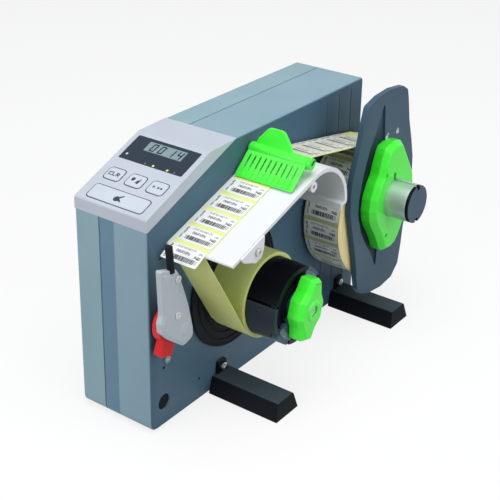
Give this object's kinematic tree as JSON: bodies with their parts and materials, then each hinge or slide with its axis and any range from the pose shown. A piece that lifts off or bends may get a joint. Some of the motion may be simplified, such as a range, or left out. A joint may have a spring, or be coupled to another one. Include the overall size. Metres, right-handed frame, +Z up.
{
  "type": "label dispenser",
  "caption": "Bench-top label dispenser with a sloped control panel, peel plate, rewinder drum and supply spindle.",
  "frame": {"origin": "centre of the box over the whole part, on the surface it stands on", "axes": "+X along the housing to the supply end, +Y to the rear cover, +Z up"},
  "size_m": [0.39, 0.1794, 0.2608],
  "materials": {
    "housing_paint": "fine satin blue-grey paint",
    "cover_paint": "fine satin blue-grey paint",
    "panel_grey": "fine moulded texture",
    "key_grey": "membrane key tops",
    "window_smoke": "smoked window",
    "display_grey": "liquid crystal display",
    "lamp_yellow": "indicator lamps",
    "circuit_green": "solder-masked board",
    "black_plastic": "moulded black plastic",
    "black_gloss": "polished black plastic",
    "black_rubber": "soft rubber",
    "white_coat": "white coated aluminium",
    "steel": "bright steel",
    "zinc_sheet": "zinc-plated sheet",
    "satin_aluminium": "satin anodised",
    "green_plastic": "bright green moulding",
    "red_plastic": "bright red moulding",
    "slate_plastic": "dark blue-grey moulding",
    "liner_paper": "glassine liner",
    "label_paper": "white labels",
    "roll_paper": "edges of a wound label roll",
    "core_card": "wound cardboard"
  },
  "bodies": {
    "housing": {"front_shell": "housing_paint", "chassis_plate": "zinc_sheet", "chassis_nuts": "steel", "rear_cover": "cover_paint", "cover_screws": "steel", "rubber_pads": "black_rubber", "left_foot": "black_plastic", "right_foot": "black_plastic", "face_screws": "steel", "control_panel": "panel_grey", "display_window": "window_smoke", "display": "display_grey", "indicator_lamps": "lamp_yellow", "panel_board": "circuit_green", "key_switches": "black_plastic", "guide_plate": "white_coat", "guide_screws": "steel", "guide_tab": "white_coat", "tab_screw": "steel", "comb_rod": "steel", "label_web": "liner_paper", "web_labels": "label_paper", "rewinder_block": "satin_aluminium", "rewinder_bearings": "steel", "drive_belt": "black_rubber", "gear_motor": "zinc_sheet", "motor_screws": "steel", "sensor_post": "satin_aluminium", "spindle_tube": "satin_aluminium", "spindle_plug": "satin_aluminium", "spindle_bolt": "steel", "spindle_cap": "slate_plastic", "main_board": "circuit_green", "power_board": "circuit_green", "power_inlet": "black_plastic", "power_switch": "black_plastic"},
    "rewinder": {"rewinder_shaft": "steel", "rewinder_flange": "slate_plastic", "drum_carrier": "slate_plastic", "upper_drum_shell": "black_gloss", "wound_liner": "liner_paper", "driven_pulley": "satin_aluminium"},
    "lower_shell": {"lower_drum_shell": "black_plastic"},
    "knob": {"wing_knob": "green_plastic", "knob_screw": "steel"},
    "motor_drive": {"motor_pulley": "satin_aluminium"},
    "comb": {"hold_down_comb": "green_plastic"},
    "arm": {"sensor_arm": "satin_aluminium", "sensor_rod": "black_plastic", "arm_screws": "steel"},
    "clamp": {"clamp_lever": "red_plastic"},
    "roll": {"roll_core": "core_card", "label_roll": "roll_paper"},
    "stop": {"margin_stop": "slate_plastic"},
    "lock": {"lock_hub": "green_plastic"},
    "clear": {"clear_key": "key_grey"},
    "mode": {"mode_key": "key_grey"},
    "step": {"step_key": "key_grey"},
    "start": {"start_key": "key_grey"},
    "rocker": {"power_rocker": "black_plastic"}
  },
  "joints": [
    {"name": "rewinder_spin", "type": "hinge", "parent": "housing", "child": "rewinder", "pos_m": [-0.06075, 0.02425, 0.1069], "axis": [0, -1, 0], "continuous": true},
    {"name": "motor_spin", "type": "hinge", "parent": "housing", "child": "motor_drive", "pos_m": [0.01525, 0.04925, 0.0619], "axis": [0, -1, 0], "continuous": true},
    {"name": "knob_turn", "type": "hinge", "parent": "rewinder", "child": "knob", "pos_m": [-0.06075, -0.07975, 0.1069], "axis": [0, 1, 0], "range_deg": [0, 90]},
    {"name": "shell_draw", "type": "slide", "parent": "rewinder", "child": "lower_shell", "axis": [0.342, 0, 0.9397], "range_m": [0, 0.002]},
    {"name": "comb_lift", "type": "hinge", "parent": "housing", "child": "comb", "pos_m": [-0.03695, -0.02975, 0.237], "axis": [0, 1, 0], "range_deg": [0, 70]},
    {"name": "arm_swing", "type": "hinge", "parent": "housing", "child": "arm", "pos_m": [-0.16345, -0.01875, 0.1135], "axis": [0, -1, 0], "range_deg": [0, 35]},
    {"name": "clamp_turn", "type": "hinge", "parent": "housing", "child": "clamp", "pos_m": [-0.16345, -0.00425, 0.1135], "axis": [0, -1, 0], "range_deg": [0, 40]},
    {"name": "supply_spin", "type": "hinge", "parent": "housing", "child": "roll", "pos_m": [0.12405, -0.01975, 0.1288], "axis": [0, -1, 0], "continuous": true},
    {"name": "stop_slide", "type": "slide", "parent": "housing", "child": "stop", "axis": [0, -1, 0], "range_m": [0, 0.025]},
    {"name": "lock_turn", "type": "hinge", "parent": "stop", "child": "lock", "pos_m": [0.12405, -0.05275, 0.1465], "axis": [0, -1, 0], "range_deg": [0, 30]},
    {"name": "clear_press", "type": "slide", "parent": "housing", "child": "clear", "axis": [0.3761, 0, -0.9266], "range_m": [0, 0.0005], "stiffness_N_per_m": 300},
    {"name": "mode_press", "type": "slide", "parent": "housing", "child": "mode", "axis": [0.3761, 0, -0.9266], "range_m": [0, 0.0005], "stiffness_N_per_m": 300},
    {"name": "step_press", "type": "slide", "parent": "housing", "child": "step", "axis": [0.3761, 0, -0.9266], "range_m": [0, 0.0005], "stiffness_N_per_m": 300},
    {"name": "start_press", "type": "slide", "parent": "housing", "child": "start", "axis": [0.3761, 0, -0.9266], "range_m": [0, 0.0005], "stiffness_N_per_m": 300},
    {"name": "rocker_tilt", "type": "hinge", "parent": "housing", "child": "rocker", "pos_m": [0.07705, 0.08375, 0.0355], "axis": [1, 0, 0], "range_deg": [-8, 8]}
  ],
  "couplings": [
    {"joint": "motor_spin", "follows": "rewinder_spin", "ratio": 3},
    {"joint": "knob_turn", "follows": "shell_draw", "rad_per_m": 785.39}
  ]
}
